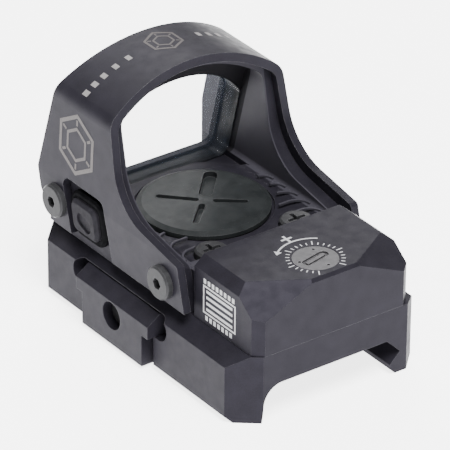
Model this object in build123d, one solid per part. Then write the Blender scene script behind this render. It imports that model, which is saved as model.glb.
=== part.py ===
from build123d import *
import math
import os

# Hooded miniature reflex sight on a clamp mount for a 21.2 mm slotted rail.
# Millimetres. +Y is the aiming direction, +X the shooter's right, +Z up. The model is built with
# its rear face at y = 0 and its underside at z = 0, and moved at the end so that the origin is
# under the middle of the mount.

# ---------------------------------------------------------------- driving sizes
# slotted rail that the mount clamps to
RAIL_HALF = 10.6            # half width over the side apexes
RAIL_APEX_DROP = 2.765      # from the rail's top down to its apexes

# rail mount
LENGTH = 47.7               # mount, housing and hood all end with it
MOUNT_HEIGHT = 10.2
MOUNT_LEFT = 15.7           # centre line to the left side
MOUNT_RIGHT = 14.26         # centre line to the right side
CEILING = 5.43              # channel ceiling above the underside
APEX_SPARE = 0.55           # groove apex beyond the rail's apex
LIP_HALF = 9.47             # inner edge of the hooked lip
LEG_INNER = 11.3            # inner wall of the clamp side's leg
LEG_FLARE = 0.5
CEILING_FILLET = 3.0
TOP_CHAMFER = (2.7, 1.72)   # across, down
FRONT_CORNER = (4.03, 3.18)
RIGHT_CORNER = (2.0, 1.7)
UNDER_CHAMFER = 0.9
MOUNT_EDGE = 0.3            # small chamfer along the right top edge

# clamp bar, its screw and their pocket
CLAMP_Y = 27.3
BAR_OUTER = 17.0
BAR_LENGTH = 16.8           # upper, wider part
BAR_NECK = 14.0             # lower part
BAR_SHOULDER = 5.45         # height of the step between them
BAR_TOP = (7.3, 8.75)       # heights of the sloped top, outer and inner
BAR_BACK = 12.6             # inner face of the upper part
BAR_FLOOR = 0.2
BAR_CORNER_R = 0.7
BAR_CHAMFER = 0.4
BAR_SLOPE = 2.05            # width of the sloped top
BAR_LIP = 1.3               # reach of the jaw under the rail's apex
POCKET_LENGTH = 21.9
POCKET_FLOOR = 5.3
POCKET_CEILING = 9.0
POCKET_DEPTH_X = 12.3
NECK_GAP = 0.95
SCREW_R = 2.0
SCREW_Z = 5.1
SCREW_HEAD_R = 3.5
SCREW_END = 15.7            # its end stays inside the tapped hole
SCREW_PLAY = 0.15
HEAD_PLAY = 0.25
HEAD_SINK = 1.2             # depth of the head's counterbore
HEAD_CHAMFER = 0.4
POINT_CHAMFER = 0.3
HEX_KEY = 2.5
HEX_DEPTH = 1.6

# housing
SEAM = MOUNT_HEIGHT
BLOCK_HALF = 12.82
BLOCK_FACE_HALF = 11.44
BLOCK_TOP = 9.07
BLOCK_FRONT = 14.0
BLOCK_SHOULDER = (1.62, 1.37)
BLOCK_CORNER = 1.25         # rear corners' cut, forward along the sides
BLOCK_TOP_CHAMFER = 0.45
FACET_SIDE = (11.16, 4.87)  # where the facet leaves the top's side edge, x and y
FACET_REAR = (3.47, 0.3)    # where it leaves the top's rear edge, x and y
FACET_LOW = 5.26            # height of its lowest corner
DECK = 5.9
WALL_START = 14.5
TUNNEL_HALF = 11.8
TUNNEL_TOP = 24.85
TUNNEL_ARC = 19.0
TUNNEL_CORNER = 2.0
TUNNEL_FLOOR_CORNER = 0.6
FLOOR_CORNER = 1.5

# hood
HOOD_HALF = 15.05
HOOD_HALF_TOP = 14.3
HOOD_WALL = 1.2
HOOD_UNDER = 1.27
HOOD_LEAN_FROM = 8.0
HOOD_CORNER_Z = 21.6
HOOD_TOP = 26.75
HOOD_CORNER_R = 2.6
HOOD_BRUSH = 0.05           # play between hood and housing
FRONT_LEAN = 0.2493         # rearward per millimetre up, 14 degrees
FRONT_PLACE = (LENGTH - 0.3, 9.3)   # a point on the leaning front edge, y and height
FRONT_NOSE = 8.4            # height at which the front edge turns back
FRONT_CHIN = (0.7, 5.3)     # the chin below the nose: set back, height
FRONT_FOOT = LENGTH - 3.7
SWEEP_FOOT = 13.3           # rear edge: foot, knee and the turn into the upright
SWEEP_KNEE = (14.9, 7.65)
SWEEP_TURN = (28.83, 10.1)
SWEEP_KNEE_R = 0.6
SWEEP_TURN_R = 8.5
REAR_LEAN = 0.2126          # the upper rear edge's, forward per millimetre up
HOOD_REACH = 30.0           # side outlines are drawn up to here, past the roof

# sight window
CELL_R = 8.0                # the battery's radius
LENS_FRAME_BACK = 3.8       # hood's front edge to the lens frame
LENS_LIP = 1.06
LENS_LIP_HEIGHT = 0.5
LENS_THICK = 3.2
LENS_BOND = 0.15
LIP_TOP = 21.7
LIP_BOTTOM = 5.4
LIP_ARC = 14.5
SEAT_REAR_R = CELL_R + 4.1  # the deck's front edge, an arc about the battery cap
SILL_BEVEL = 2.1            # across and down, ahead of the lip
HOUSING_FRONT = LENGTH - 1.2
HOUSING_DROP = 1.4          # housing's rear edge inside the hood's
HOUSING_BACK = 0.5          # housing's front edge behind the hood's
HOUSING_CHIN = 5.0
LENS_REAR_CURVE = (140.0, 0.4)   # ball radius, depth of its surface at the middle
LENS_CEMENT_CURVE = (110.0, 1.7)

# battery, a 16 mm cell 3.2 mm thick
CELL_THICK = 3.2
CELL_PLAY = 0.2
CAP_Y = 29.6
CAP_R = CELL_R + 1.25
CAP_TOP = 6.2
CAP_CONTACT = 0.25          # sprung contact between cell and cap
CAP_SKIRT = 0.5
CAP_SKIRT_DEPTH = 2.0
CAP_GAP = 0.45
CAP_CHAMFER = (0.35, 0.75)  # down, across
CAP_FLANGE = 0.95
CAP_SEAL = 0.25
CAP_SLOT_DEPTH = 0.85
CAP_SLOTS = ((47, 1.2, 8.1, 1.9), (224, 1.0, 6.4, 0.9), (134, 0.7, 6.7, 0.9), (-38, 1.2, 6.0, 0.9))
DECK_STEP_R = CAP_R + 0.85
DECK_STEP = 0.25

# board and bottom cover
COVER_THICK = 0.5
GASKET_THICK = 0.2
BOARD_LIFT = 0.1            # from the gasket to the board
BOARD_THICK = 0.5
BOARD_GAP = 0.25
CONTACT_THICK = 0.2
COVER_LEDGE = 0.9
COVER_TAB = (8.0, 0.9, LENGTH - 3.8)     # half width, rear and front ends
COVER_HEAD_R = 1.0
COVER_HEAD = 0.3
SCREW_BITE = 1.4            # thread above the cover ledge
FINE_SCREW_R = 0.55
CAVITY_HALF = 11.4          # under the deck
CAVITY_FRONT = LENGTH - 6.3
ROOM_HALF = 8.8             # adjuster room in the rear block
ROOM_REAR = 3.0
ROOM_TOP = 6.0              # under the elevation adjuster
ROOM_HIGH = 8.0             # around the emitter
ROOM_HIGH_FROM = 8.3
ROOM_FRONT = 12.6

# adjusters
DISC_R = 3.15
DISC_THICK = 1.5
DISC_SINK = 0.05            # below the face around it
DISC_ROOM = 0.1             # left under the disc when it is turned right in
STEM_R = 1.4
ELEVATION_Y = 4.5
WINDAGE_Y = 9.8
WINDAGE_Z = 4.3
CLICK_R = 0.3
CLICK_BORE = 2.2
DISC_SLOT = (4.6, 1.5, 0.35)     # length, width, depth
DISC_SLOT_TURN = 12
DISC_DOTS = (60, 170, 280)
DISC_DOT = (2.35, 0.22, 0.3)     # distance out, radius, depth
SHIFT = 0.35                # adjusters' travel each way, one turn of their thread
RUN = 0.05                  # radial play of anything that turns or slides
TIP_GAP = 0.03

# curved ribs beside the battery cap
RIB_COUNT = 5
RIB_X = 9.25
RIB_Y = 29.1
RIB_PITCH = 2.8
RIB_R = 2.3
RIB_WIDTH = 0.3
RIB_HEIGHT = 0.3
RIB_RUN = 1.6               # straight run from the arc towards the cap

# deck screws
DECK_SCREW_X = 7.06
DECK_SCREW_Y = 18.0
DECK_HEAD_R = 2.35
DECK_HEAD = (0.9, 0.6)      # sunk below the deck, standing above it
DECK_SHANK_R = 1.25
CROSS_RECESS = (1.35, 0.6, 0.8)  # arm, width, depth

# hood screws
HOOD_SCREWS = ((18.1, 4.0), (LENGTH - 4.7, 5.0))
HOOD_HEAD_R = 2.4
HOOD_HEAD = 1.0
HOOD_SHANK_R = 0.9
HOOD_SHANK = 1.75           # thread inside the housing's wall
HOOD_HOLE_PLAY = 0.15
HOOD_HEX = (1.5, 0.8)       # size and depth of the socket

# buttons
KEY_PROUD = 15.3            # centre line to the key's face
KEY_BACK = 13.3
KEY_TRAVEL = 0.5
KEY_STEM_R = 1.0
KEY_STEM = (36.2, 3.3)      # place of the stem
KEY_TOP = (33.9, 39.9, 7.2)      # rear, front, height
KEY_FOOT = (32.9, 38.9, 2.4)
KEY_CORNERS = (1.2, 1.4)
KEY_CHAMFER = 0.45
KEY_PLAY = 0.15
FRAME_SPARE = 1.0
NOTCH_FOOT = (29.6, 39.6)
NOTCH_TOP = (32.2, 42.0, 9.5)
SWITCH_HALF = 2.0
SWITCH_TOP = 4.5
CHIP_ROOM = (2.2, 1.7, 2.8)
SWITCH_FACE = 11.4

os.makedirs("parts", exist_ok=True)
parts = {}


# ---------------------------------------------------------------- small helpers
def block(x0, x1, y0, y1, z0, z1):
    """Box between two corners."""
    centre = ((x0 + x1) / 2, (y0 + y1) / 2, (z0 + z1) / 2)
    return Pos(*centre) * Box(x1 - x0, y1 - y0, z1 - z0)


def outline(points, radii=0.0):
    """Closed flat face through the points, each corner rounded by its own radius."""
    return make_face(FilletPolyline(*points, radius=radii, close=True))


def cross(face, y0, y1):
    """Solid from a face drawn in x and z, between two places along the sight."""
    return extrude(Plane.XZ.offset(-y0) * face, -(y1 - y0))


def side(face, x0, x1):
    """Solid from a face drawn in y and z, between two places across the sight."""
    return extrude(Plane.YZ.offset(x0) * face, x1 - x0)


def flat(face, z0, z1):
    """Solid from a face drawn in x and y, between two heights."""
    return extrude(Plane.XY.offset(z0) * face, z1 - z0)


def disc(x, y, z0, z1, radius):
    """Upright cylinder between two heights."""
    return Pos(x, y, (z0 + z1) / 2) * Cylinder(radius, z1 - z0)


def pin_x(x0, x1, y, z, radius):
    """Cylinder lying across the sight."""
    return Pos((x0 + x1) / 2, y, z) * Rot(0, 90, 0) * Cylinder(radius, x1 - x0)


def pin_y(y0, y1, x, z, radius):
    """Cylinder lying along the sight."""
    return Pos(x, (y0 + y1) / 2, z) * Rot(90, 0, 0) * Cylinder(radius, y1 - y0)


def mirrored(solid):
    """The same piece on the other side of the sight."""
    return mirror(solid, about=Plane.YZ)


def seam(z):
    """Height above the underside of something measured from the housing's seat."""
    return SEAM + z


# ---------------------------------------------------------------- rail mount
APEX_Z = CEILING - RAIL_APEX_DROP
GROOVE_X = RAIL_HALF + APEX_SPARE
GROOVE_Z = APEX_Z + APEX_SPARE


def mount_section():
    """Channel section: hooked lip on the right, plain leg on the clamp side."""
    lip_z = APEX_Z - (RAIL_HALF - LIP_HALF)
    points = [
        (-MOUNT_LEFT + UNDER_CHAMFER, 0),
        (-MOUNT_LEFT, UNDER_CHAMFER),
        (-MOUNT_LEFT, MOUNT_HEIGHT - TOP_CHAMFER[1]),
        (-MOUNT_LEFT + TOP_CHAMFER[0], MOUNT_HEIGHT),
        (MOUNT_RIGHT - MOUNT_EDGE, MOUNT_HEIGHT),
        (MOUNT_RIGHT, MOUNT_HEIGHT - MOUNT_EDGE),
        (MOUNT_RIGHT, UNDER_CHAMFER),
        (MOUNT_RIGHT - 2 * UNDER_CHAMFER, 0),
        (LIP_HALF + UNDER_CHAMFER, 0),
        (LIP_HALF, UNDER_CHAMFER),
        (LIP_HALF, lip_z),
        (GROOVE_X, GROOVE_Z),
        (GROOVE_X - (CEILING - GROOVE_Z), CEILING),
        (-LEG_INNER, CEILING),
        (-LEG_INNER - LEG_FLARE, 0),
    ]
    radii = [0.0] * len(points)
    radii[points.index((-LEG_INNER, CEILING))] = CEILING_FILLET
    return outline(points, radii)


def corner_prism(x_sign, half, cut, y_edge, y_sign):
    """Upright wedge that takes off a plan corner of the mount."""
    reach = 5.0
    corner = (x_sign * half, y_edge)
    points = [
        (corner[0] - x_sign * cut[0], corner[1]),
        (corner[0], corner[1] - y_sign * cut[1]),
        (corner[0] + x_sign * reach, corner[1] - y_sign * cut[1]),
        (corner[0] + x_sign * reach, corner[1] + y_sign * reach),
        (corner[0] - x_sign * cut[0], corner[1] + y_sign * reach),
    ]
    return flat(outline(points), -1, MOUNT_HEIGHT + 1)


def pocket():
    """Side pocket of the clamp bar: a round-ended slot with a narrower slot below it."""
    height = POCKET_CEILING - POCKET_FLOOR
    middle = (POCKET_CEILING + POCKET_FLOOR) / 2
    slot = Pos(CLAMP_Y, middle) * SlotOverall(POCKET_LENGTH, height)
    upper = side(slot, -MOUNT_LEFT - 1, -POCKET_DEPTH_X)
    half = BAR_NECK / 2 + NECK_GAP
    lower = block(-MOUNT_LEFT - 1, -LIP_HALF, CLAMP_Y - half, CLAMP_Y + half, -1, POCKET_FLOOR + 0.2)
    return upper + lower


def deck_screw_places():
    return [(-DECK_SCREW_X, DECK_SCREW_Y), (DECK_SCREW_X, DECK_SCREW_Y)]


PIN_PLACES = [(-10.9, 4.2), (10.9, 4.2), (-9.0, LENGTH - 2.7), (9.0, LENGTH - 2.7)]
PIN_R = 0.8
PIN_REACH = 1.5

mount = cross(mount_section(), 0, LENGTH)
for y_edge, y_sign in ((0, -1), (LENGTH, 1)):
    mount -= corner_prism(-1, MOUNT_LEFT, FRONT_CORNER, y_edge, y_sign)
    mount -= corner_prism(1, MOUNT_RIGHT, RIGHT_CORNER, y_edge, y_sign)
mount -= pocket()
mount -= pin_x(-MOUNT_LEFT, MOUNT_RIGHT + 1, CLAMP_Y, SCREW_Z, SCREW_R + SCREW_PLAY)
mount -= pin_x(MOUNT_RIGHT - HEAD_SINK, MOUNT_RIGHT + 1, CLAMP_Y, SCREW_Z, SCREW_HEAD_R + HEAD_PLAY)
for x, y in deck_screw_places():
    mount -= disc(x, y, CEILING - 1, MOUNT_HEIGHT + 1, DECK_SHANK_R)
for x, y in PIN_PLACES:
    mount -= disc(x, y, MOUNT_HEIGHT - PIN_REACH, MOUNT_HEIGHT + 1, PIN_R)
parts["rail_mount"] = mount

pins = []
for x, y in PIN_PLACES:
    pins.append(disc(x, y, MOUNT_HEIGHT - PIN_REACH, MOUNT_HEIGHT + PIN_REACH - 0.1, PIN_R))
parts["locating_pins"] = Compound(pins)


# ---------------------------------------------------------------- clamp bar and screw
def bar_section(low, high_outer, high_inner):
    """Jaw section: sloped top, flat back and the lower half of a V that hooks the rail."""
    return outline([
        (-BAR_OUTER + BAR_CHAMFER, low),
        (-BAR_OUTER, low + BAR_CHAMFER),
        (-BAR_OUTER, high_outer),
        (-BAR_OUTER + BAR_SLOPE, high_inner),
        (-BAR_BACK, high_inner),
        (-BAR_BACK, BAR_SHOULDER),
        (-GROOVE_X - 0.3, BAR_SHOULDER),
        (-GROOVE_X, GROOVE_Z),
        (-RAIL_HALF + BAR_LIP, APEX_Z - BAR_LIP),
        (-RAIL_HALF + BAR_LIP, UNDER_CHAMFER + 0.3),
        (-RAIL_HALF + 0.2, low),
    ])


bar_half = BAR_LENGTH / 2
neck_half = BAR_NECK / 2
bar = cross(bar_section(BAR_FLOOR, *BAR_TOP), CLAMP_Y - bar_half, CLAMP_Y + bar_half)
for sign in (-1, 1):
    y0, y1 = sorted((CLAMP_Y + sign * neck_half, CLAMP_Y + sign * (bar_half + 1)))
    bar -= block(-BAR_OUTER - 1, -RAIL_HALF + 3, y0, y1, -1, BAR_SHOULDER)
bar = fillet(bar.edges().filter_by(Axis.X).group_by(Axis.Z)[0], BAR_CORNER_R)
bar -= pin_x(-BAR_OUTER - 1, -LIP_HALF, CLAMP_Y, SCREW_Z, SCREW_R + RUN)
parts["clamp_bar"] = bar

head_x = MOUNT_RIGHT - HEAD_SINK
screw = pin_x(-SCREW_END, head_x + 0.5, CLAMP_Y, SCREW_Z, SCREW_R)
head = pin_x(head_x, BAR_OUTER, CLAMP_Y, SCREW_Z, SCREW_HEAD_R)
head = chamfer(head.edges().filter_by(GeomType.CIRCLE).sort_by(Axis.X)[-1], HEAD_CHAMFER)
screw = screw + head
hexagon = Pos(CLAMP_Y, SCREW_Z) * RegularPolygon(HEX_KEY / 2, 6, major_radius=False)
screw -= side(hexagon, BAR_OUTER - HEX_DEPTH, BAR_OUTER + 1)
screw = chamfer(screw.edges().filter_by(GeomType.CIRCLE).sort_by(Axis.X)[0], POINT_CHAMFER)
parts["clamp_screw"] = screw


# ---------------------------------------------------------------- hood outline
def hood_section(inset):
    """Arch of the hood seen from behind, shrunk by an inset."""
    low = HOOD_HALF - inset
    high = HOOD_HALF_TOP - inset
    top = seam(HOOD_TOP) - inset
    corner = seam(HOOD_CORNER_Z) - inset * 0.55
    arc = ThreePointArc((-high, corner), (0, top), (high, corner))
    sides = Polyline(
        (high, corner), (low, seam(HOOD_LEAN_FROM)), (low, SEAM - 5), (-low, SEAM - 5),
        (-low, seam(HOOD_LEAN_FROM)), (-high, corner),
    )
    face = make_face([arc, sides])
    corners = face.vertices().sort_by(Axis.Y)[-2:]
    return fillet(corners, HOOD_CORNER_R - inset * 0.5)


def front_y(z):
    """Hood's front edge at a height above the seam."""
    return FRONT_PLACE[0] - FRONT_LEAN * (z - FRONT_PLACE[1])


def sweep_points(drop, low):
    """Rear edge of the hood from its foot up, moved forward and down by a drop."""
    turn = (SWEEP_TURN[0] + drop * 0.8, SWEEP_TURN[1] - drop)
    rise = HOOD_REACH - SWEEP_TURN[1]
    return [
        (SWEEP_FOOT + drop, seam(low)),
        (SWEEP_KNEE[0] + drop, seam(SWEEP_KNEE[1] - drop)),
        (turn[0], seam(turn[1])),
        (turn[0] + REAR_LEAN * rise, seam(HOOD_REACH)),
    ]


def hood_profile():
    """Side view of the hood: sweeping rear edge, leaning front edge."""
    points = sweep_points(0.0, HOOD_UNDER) + [
        (front_y(HOOD_REACH), seam(HOOD_REACH)),
        (front_y(FRONT_NOSE), seam(FRONT_NOSE)),
        (front_y(FRONT_NOSE) - FRONT_CHIN[0], seam(FRONT_CHIN[1])),
        (FRONT_FOOT, seam(HOOD_UNDER)),
    ]
    return outline(points, [0.0, SWEEP_KNEE_R, SWEEP_TURN_R, 0.0, 0.0, 0.8, 1.0, 0.0])


def housing_profile():
    """Side view of the housing: the hood's sweep set inside it, with an upright front."""
    points = sweep_points(HOUSING_DROP, 0.0) + [
        (front_y(HOOD_REACH) - HOUSING_BACK, seam(HOOD_REACH)),
        (front_y(FRONT_NOSE) - HOUSING_BACK, seam(FRONT_NOSE)),
        (HOUSING_FRONT, seam(HOUSING_CHIN)),
        (HOUSING_FRONT, SEAM),
    ]
    return outline(points, [0.0, SWEEP_KNEE_R, SWEEP_TURN_R, 0.0, 0.0, 0.0, 0.0, 0.0])


def key_notch():
    """Notch in the hood's lower edge around a button."""
    return outline([
        (NOTCH_FOOT[0], seam(HOOD_UNDER - 2)),
        (NOTCH_FOOT[0] + 0.2, seam(HOOD_UNDER)),
        (NOTCH_TOP[0], seam(NOTCH_TOP[2])),
        (NOTCH_TOP[1], seam(NOTCH_TOP[2])),
        (NOTCH_FOOT[1], seam(HOOD_UNDER)),
        (NOTCH_FOOT[1], seam(HOOD_UNDER - 2)),
    ], [0, 0.8, 1.4, 1.4, 0.8, 0])


hood = cross(hood_section(0.0), 0, LENGTH + 5) - cross(hood_section(HOOD_WALL), -1, LENGTH + 6)
hood &= side(hood_profile(), -20, 20)
hood -= side(key_notch(), -20, 20)
for y, z in HOOD_SCREWS:
    hood -= pin_x(-20, 20, y, seam(z), HOOD_SHANK_R + HOOD_HOLE_PLAY)
parts["hood"] = hood


# ---------------------------------------------------------------- housing
def facet(sign):
    """Wedge that cuts the sloping facet at a rear top corner of the block."""
    a = Vector(sign * FACET_SIDE[0], FACET_SIDE[1], seam(BLOCK_TOP))
    b = Vector(sign * FACET_REAR[0], FACET_REAR[1], seam(BLOCK_TOP))
    c = Vector(sign * BLOCK_FACE_HALF, 0, seam(FACET_LOW))
    normal = (b - a).cross(c - a).normalized()
    if normal.Z < 0:
        normal = normal * -1
    return extrude(Plane(origin=a, z_dir=normal) * Rectangle(60, 60), 12)


def rear_block():
    """Rear block: chamfered sides, sloping corner facets."""
    half = BLOCK_HALF
    across, down = BLOCK_SHOULDER
    body = cross(outline([
        (-half, SEAM), (-half, seam(BLOCK_TOP - down)), (-half + across, seam(BLOCK_TOP)),
        (half - across, seam(BLOCK_TOP)), (half, seam(BLOCK_TOP - down)), (half, SEAM),
    ]), 0, BLOCK_FRONT)
    for sign in (-1, 1):
        corner = [
            (sign * BLOCK_FACE_HALF, 0), (sign * half, BLOCK_CORNER), (sign * (half + 5), BLOCK_CORNER),
            (sign * (half + 5), -5), (sign * BLOCK_FACE_HALF, -5),
        ]
        body -= flat(outline(corner), SEAM - 1, seam(BLOCK_TOP + 1))
        body -= facet(sign)
    top_rear = body.edges().filter_by(Axis.X).group_by(Axis.Z)[-1].sort_by(Axis.Y)[0]
    return chamfer(top_rear, BLOCK_TOP_CHAMFER)


def tunnel_arch(half, bottom, shoulder, top, corner, floor_corner):
    """Window opening: flat floor, straight sides and an arched top."""
    arc = ThreePointArc((-half, shoulder), (0, top), (half, shoulder))
    sides = Polyline((half, shoulder), (half, bottom), (-half, bottom), (-half, shoulder))
    face = make_face([arc, sides])
    uppers = face.vertices().sort_by(Axis.Y)[-2:]
    face = fillet(uppers, corner)
    lowers = face.vertices().sort_by(Axis.Y)[:2]
    return fillet(lowers, floor_corner)


def arc_shoulder(half, top, radius):
    """Height at which an arc over the middle comes down to the side."""
    return top - (radius - math.sqrt(radius * radius - half * half))


def lens_slab(front, thick):
    """Space between two planes that lean with the hood's front edge."""
    y0 = front_y(0) - front
    points = [
        (y0 - thick, seam(0)), (y0, seam(0)),
        (y0 - FRONT_LEAN * 30, seam(30)), (y0 - thick - FRONT_LEAN * 30, seam(30)),
    ]
    return side(outline(points), -20, 20)


LEAN_STRETCH = math.sqrt(1 + FRONT_LEAN ** 2)
FRAME_FRONT = LENS_FRAME_BACK * LEAN_STRETCH
LIP_BACK = FRAME_FRONT + LENS_LIP * LEAN_STRETCH
LENS_BACK = LIP_BACK + LENS_THICK * LEAN_STRETCH

window = tunnel_arch(
    TUNNEL_HALF, seam(DECK), seam(arc_shoulder(TUNNEL_HALF, TUNNEL_TOP, TUNNEL_ARC)),
    seam(TUNNEL_TOP), TUNNEL_CORNER, TUNNEL_FLOOR_CORNER,
)
SEAT_FLOOR = LIP_BOTTOM - LENS_LIP_HEIGHT
SEAT_TOP = LIP_TOP + LENS_LIP_HEIGHT
bore = tunnel_arch(
    TUNNEL_HALF, seam(SEAT_FLOOR), seam(arc_shoulder(TUNNEL_HALF, SEAT_TOP, LIP_ARC)),
    seam(SEAT_TOP), FLOOR_CORNER, FLOOR_CORNER,
)
lip_half = TUNNEL_HALF - LENS_LIP_HEIGHT
lip = tunnel_arch(
    lip_half, seam(LIP_BOTTOM), seam(arc_shoulder(lip_half, LIP_TOP, LIP_ARC)),
    seam(LIP_TOP), FLOOR_CORNER, FLOOR_CORNER,
)
behind_lens = lens_slab(LENS_BACK, 60)
lens_room = lens_slab(LIP_BACK, LENS_THICK * LEAN_STRETCH)
ahead_of_frame = lens_slab(FRAME_FRONT - 20, 20)


def sill_cut():
    """Steep bevel ahead of the lip's lower edge, and the step from the deck to the lens seat."""
    front = front_y(LIP_BOTTOM) - FRAME_FRONT
    bevel = side(outline([
        (front, seam(LIP_BOTTOM)), (front + SILL_BEVEL + 0.3, seam(LIP_BOTTOM - SILL_BEVEL - 0.3)),
        (front + 6, seam(LIP_BOTTOM)), (front + 6, seam(LIP_TOP)),
        (front - 0.5, seam(LIP_BOTTOM + 1)),
    ]), -TUNNEL_HALF, TUNNEL_HALF)
    half = TUNNEL_HALF - TUNNEL_FLOOR_CORNER
    step = block(-half, half, CAP_Y, LENGTH, seam(SEAT_FLOOR), seam(DECK + 1))
    step -= disc(0, CAP_Y, SEAM, seam(10), SEAT_REAR_R)
    step &= behind_lens + lens_room
    return bevel + step


# ---------------------------------------------------------------- heights inside the housing
LEDGE_Z = COVER_THICK + GASKET_THICK
BOARD_Z = LEDGE_Z + BOARD_LIFT
BOARD_TOP = BOARD_Z + BOARD_THICK
FLOOR_TOP = BOARD_TOP + BOARD_GAP
CELL_Z = BOARD_TOP + CONTACT_THICK
CELL_TOP = CELL_Z + CELL_THICK
ROOF_Z = CELL_TOP + CAP_CONTACT + 0.02
FLANGE_Z = CAP_TOP - CAP_FLANGE
SEAT_Z = FLANGE_Z - CAP_SEAL
SKIRT_R = CELL_R + CELL_PLAY + CAP_SKIRT
SKIRT_Z = FLANGE_Z - CAP_SKIRT_DEPTH


def room_plan(spare):
    """Plan of the space inside the housing, grown by a spare: narrow at the rear, wide ahead."""
    narrow = ROOM_HALF + spare
    wide = CAVITY_HALF + spare
    step = WALL_START + 2.0 - spare
    rear = ROOM_REAR - spare
    front = CAVITY_FRONT + spare
    return outline([
        (-narrow, rear), (narrow, rear), (narrow, step), (wide, step), (wide, front),
        (-wide, front), (-wide, step), (-narrow, step),
    ], [0.8] * 8)


def cover_plan():
    """Plan of the bottom cover: the room's plan with a screw tab at each end."""
    half, rear, front = COVER_TAB
    tabs = outline([(-half, rear), (half, rear), (half, front), (-half, front)], 1.0)
    return room_plan(COVER_LEDGE) + tabs


COVER_SCREWS = [(-6.2, 1.95), (6.2, 1.95), (-6.2, LENGTH - 4.85), (6.2, LENGTH - 4.85)]
CHIP_PLACES = [(-5.0, LENGTH - 8.1), (5.0, LENGTH - 8.1)]
RECESS = DISC_SINK + DISC_THICK + SHIFT + DISC_ROOM
CLICK_Z = (ROOM_TOP + BLOCK_TOP - RECESS) / 2
CLICK_X = (ROOM_HALF + BLOCK_HALF - RECESS) / 2


def key_outline(spare):
    """Outline of a button seen from its side: a leaning rounded rhomboid."""
    high = seam(KEY_TOP[2] + spare)
    low = seam(KEY_FOOT[2] - spare)
    points = [
        (KEY_TOP[1] + spare, high), (KEY_TOP[0] - spare, high),
        (KEY_FOOT[0] - spare, low), (KEY_FOOT[1] + spare, low),
    ]
    return outline(points, [radius + spare for radius in KEY_CORNERS * 2])


def both(solid):
    """A cut made on both sides of the sight."""
    return solid + mirrored(solid)


# ---------------------------------------------------------------- housing
def deck_ribs():
    """Curved ribs on the deck between the battery cap and the side wall."""
    ribs = None
    for index in range(RIB_COUNT):
        centre = (RIB_X, RIB_Y - index * RIB_PITCH)
        ring = Circle(RIB_R) - Circle(RIB_R - RIB_WIDTH)
        quarter = ring & Pos(RIB_R, RIB_R) * Rectangle(2 * RIB_R, 2 * RIB_R)
        run = Pos(-RIB_RUN / 2, RIB_R - RIB_WIDTH / 2) * Rectangle(RIB_RUN + 0.02, RIB_WIDTH)
        rib = flat(Pos(*centre) * (quarter + run), seam(DECK - 0.05), seam(DECK + RIB_HEIGHT))
        ribs = rib if ribs is None else ribs + rib
    ribs -= disc(0, CAP_Y, SEAM, seam(10), DECK_STEP_R + 0.1)
    return both(ribs)


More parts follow.
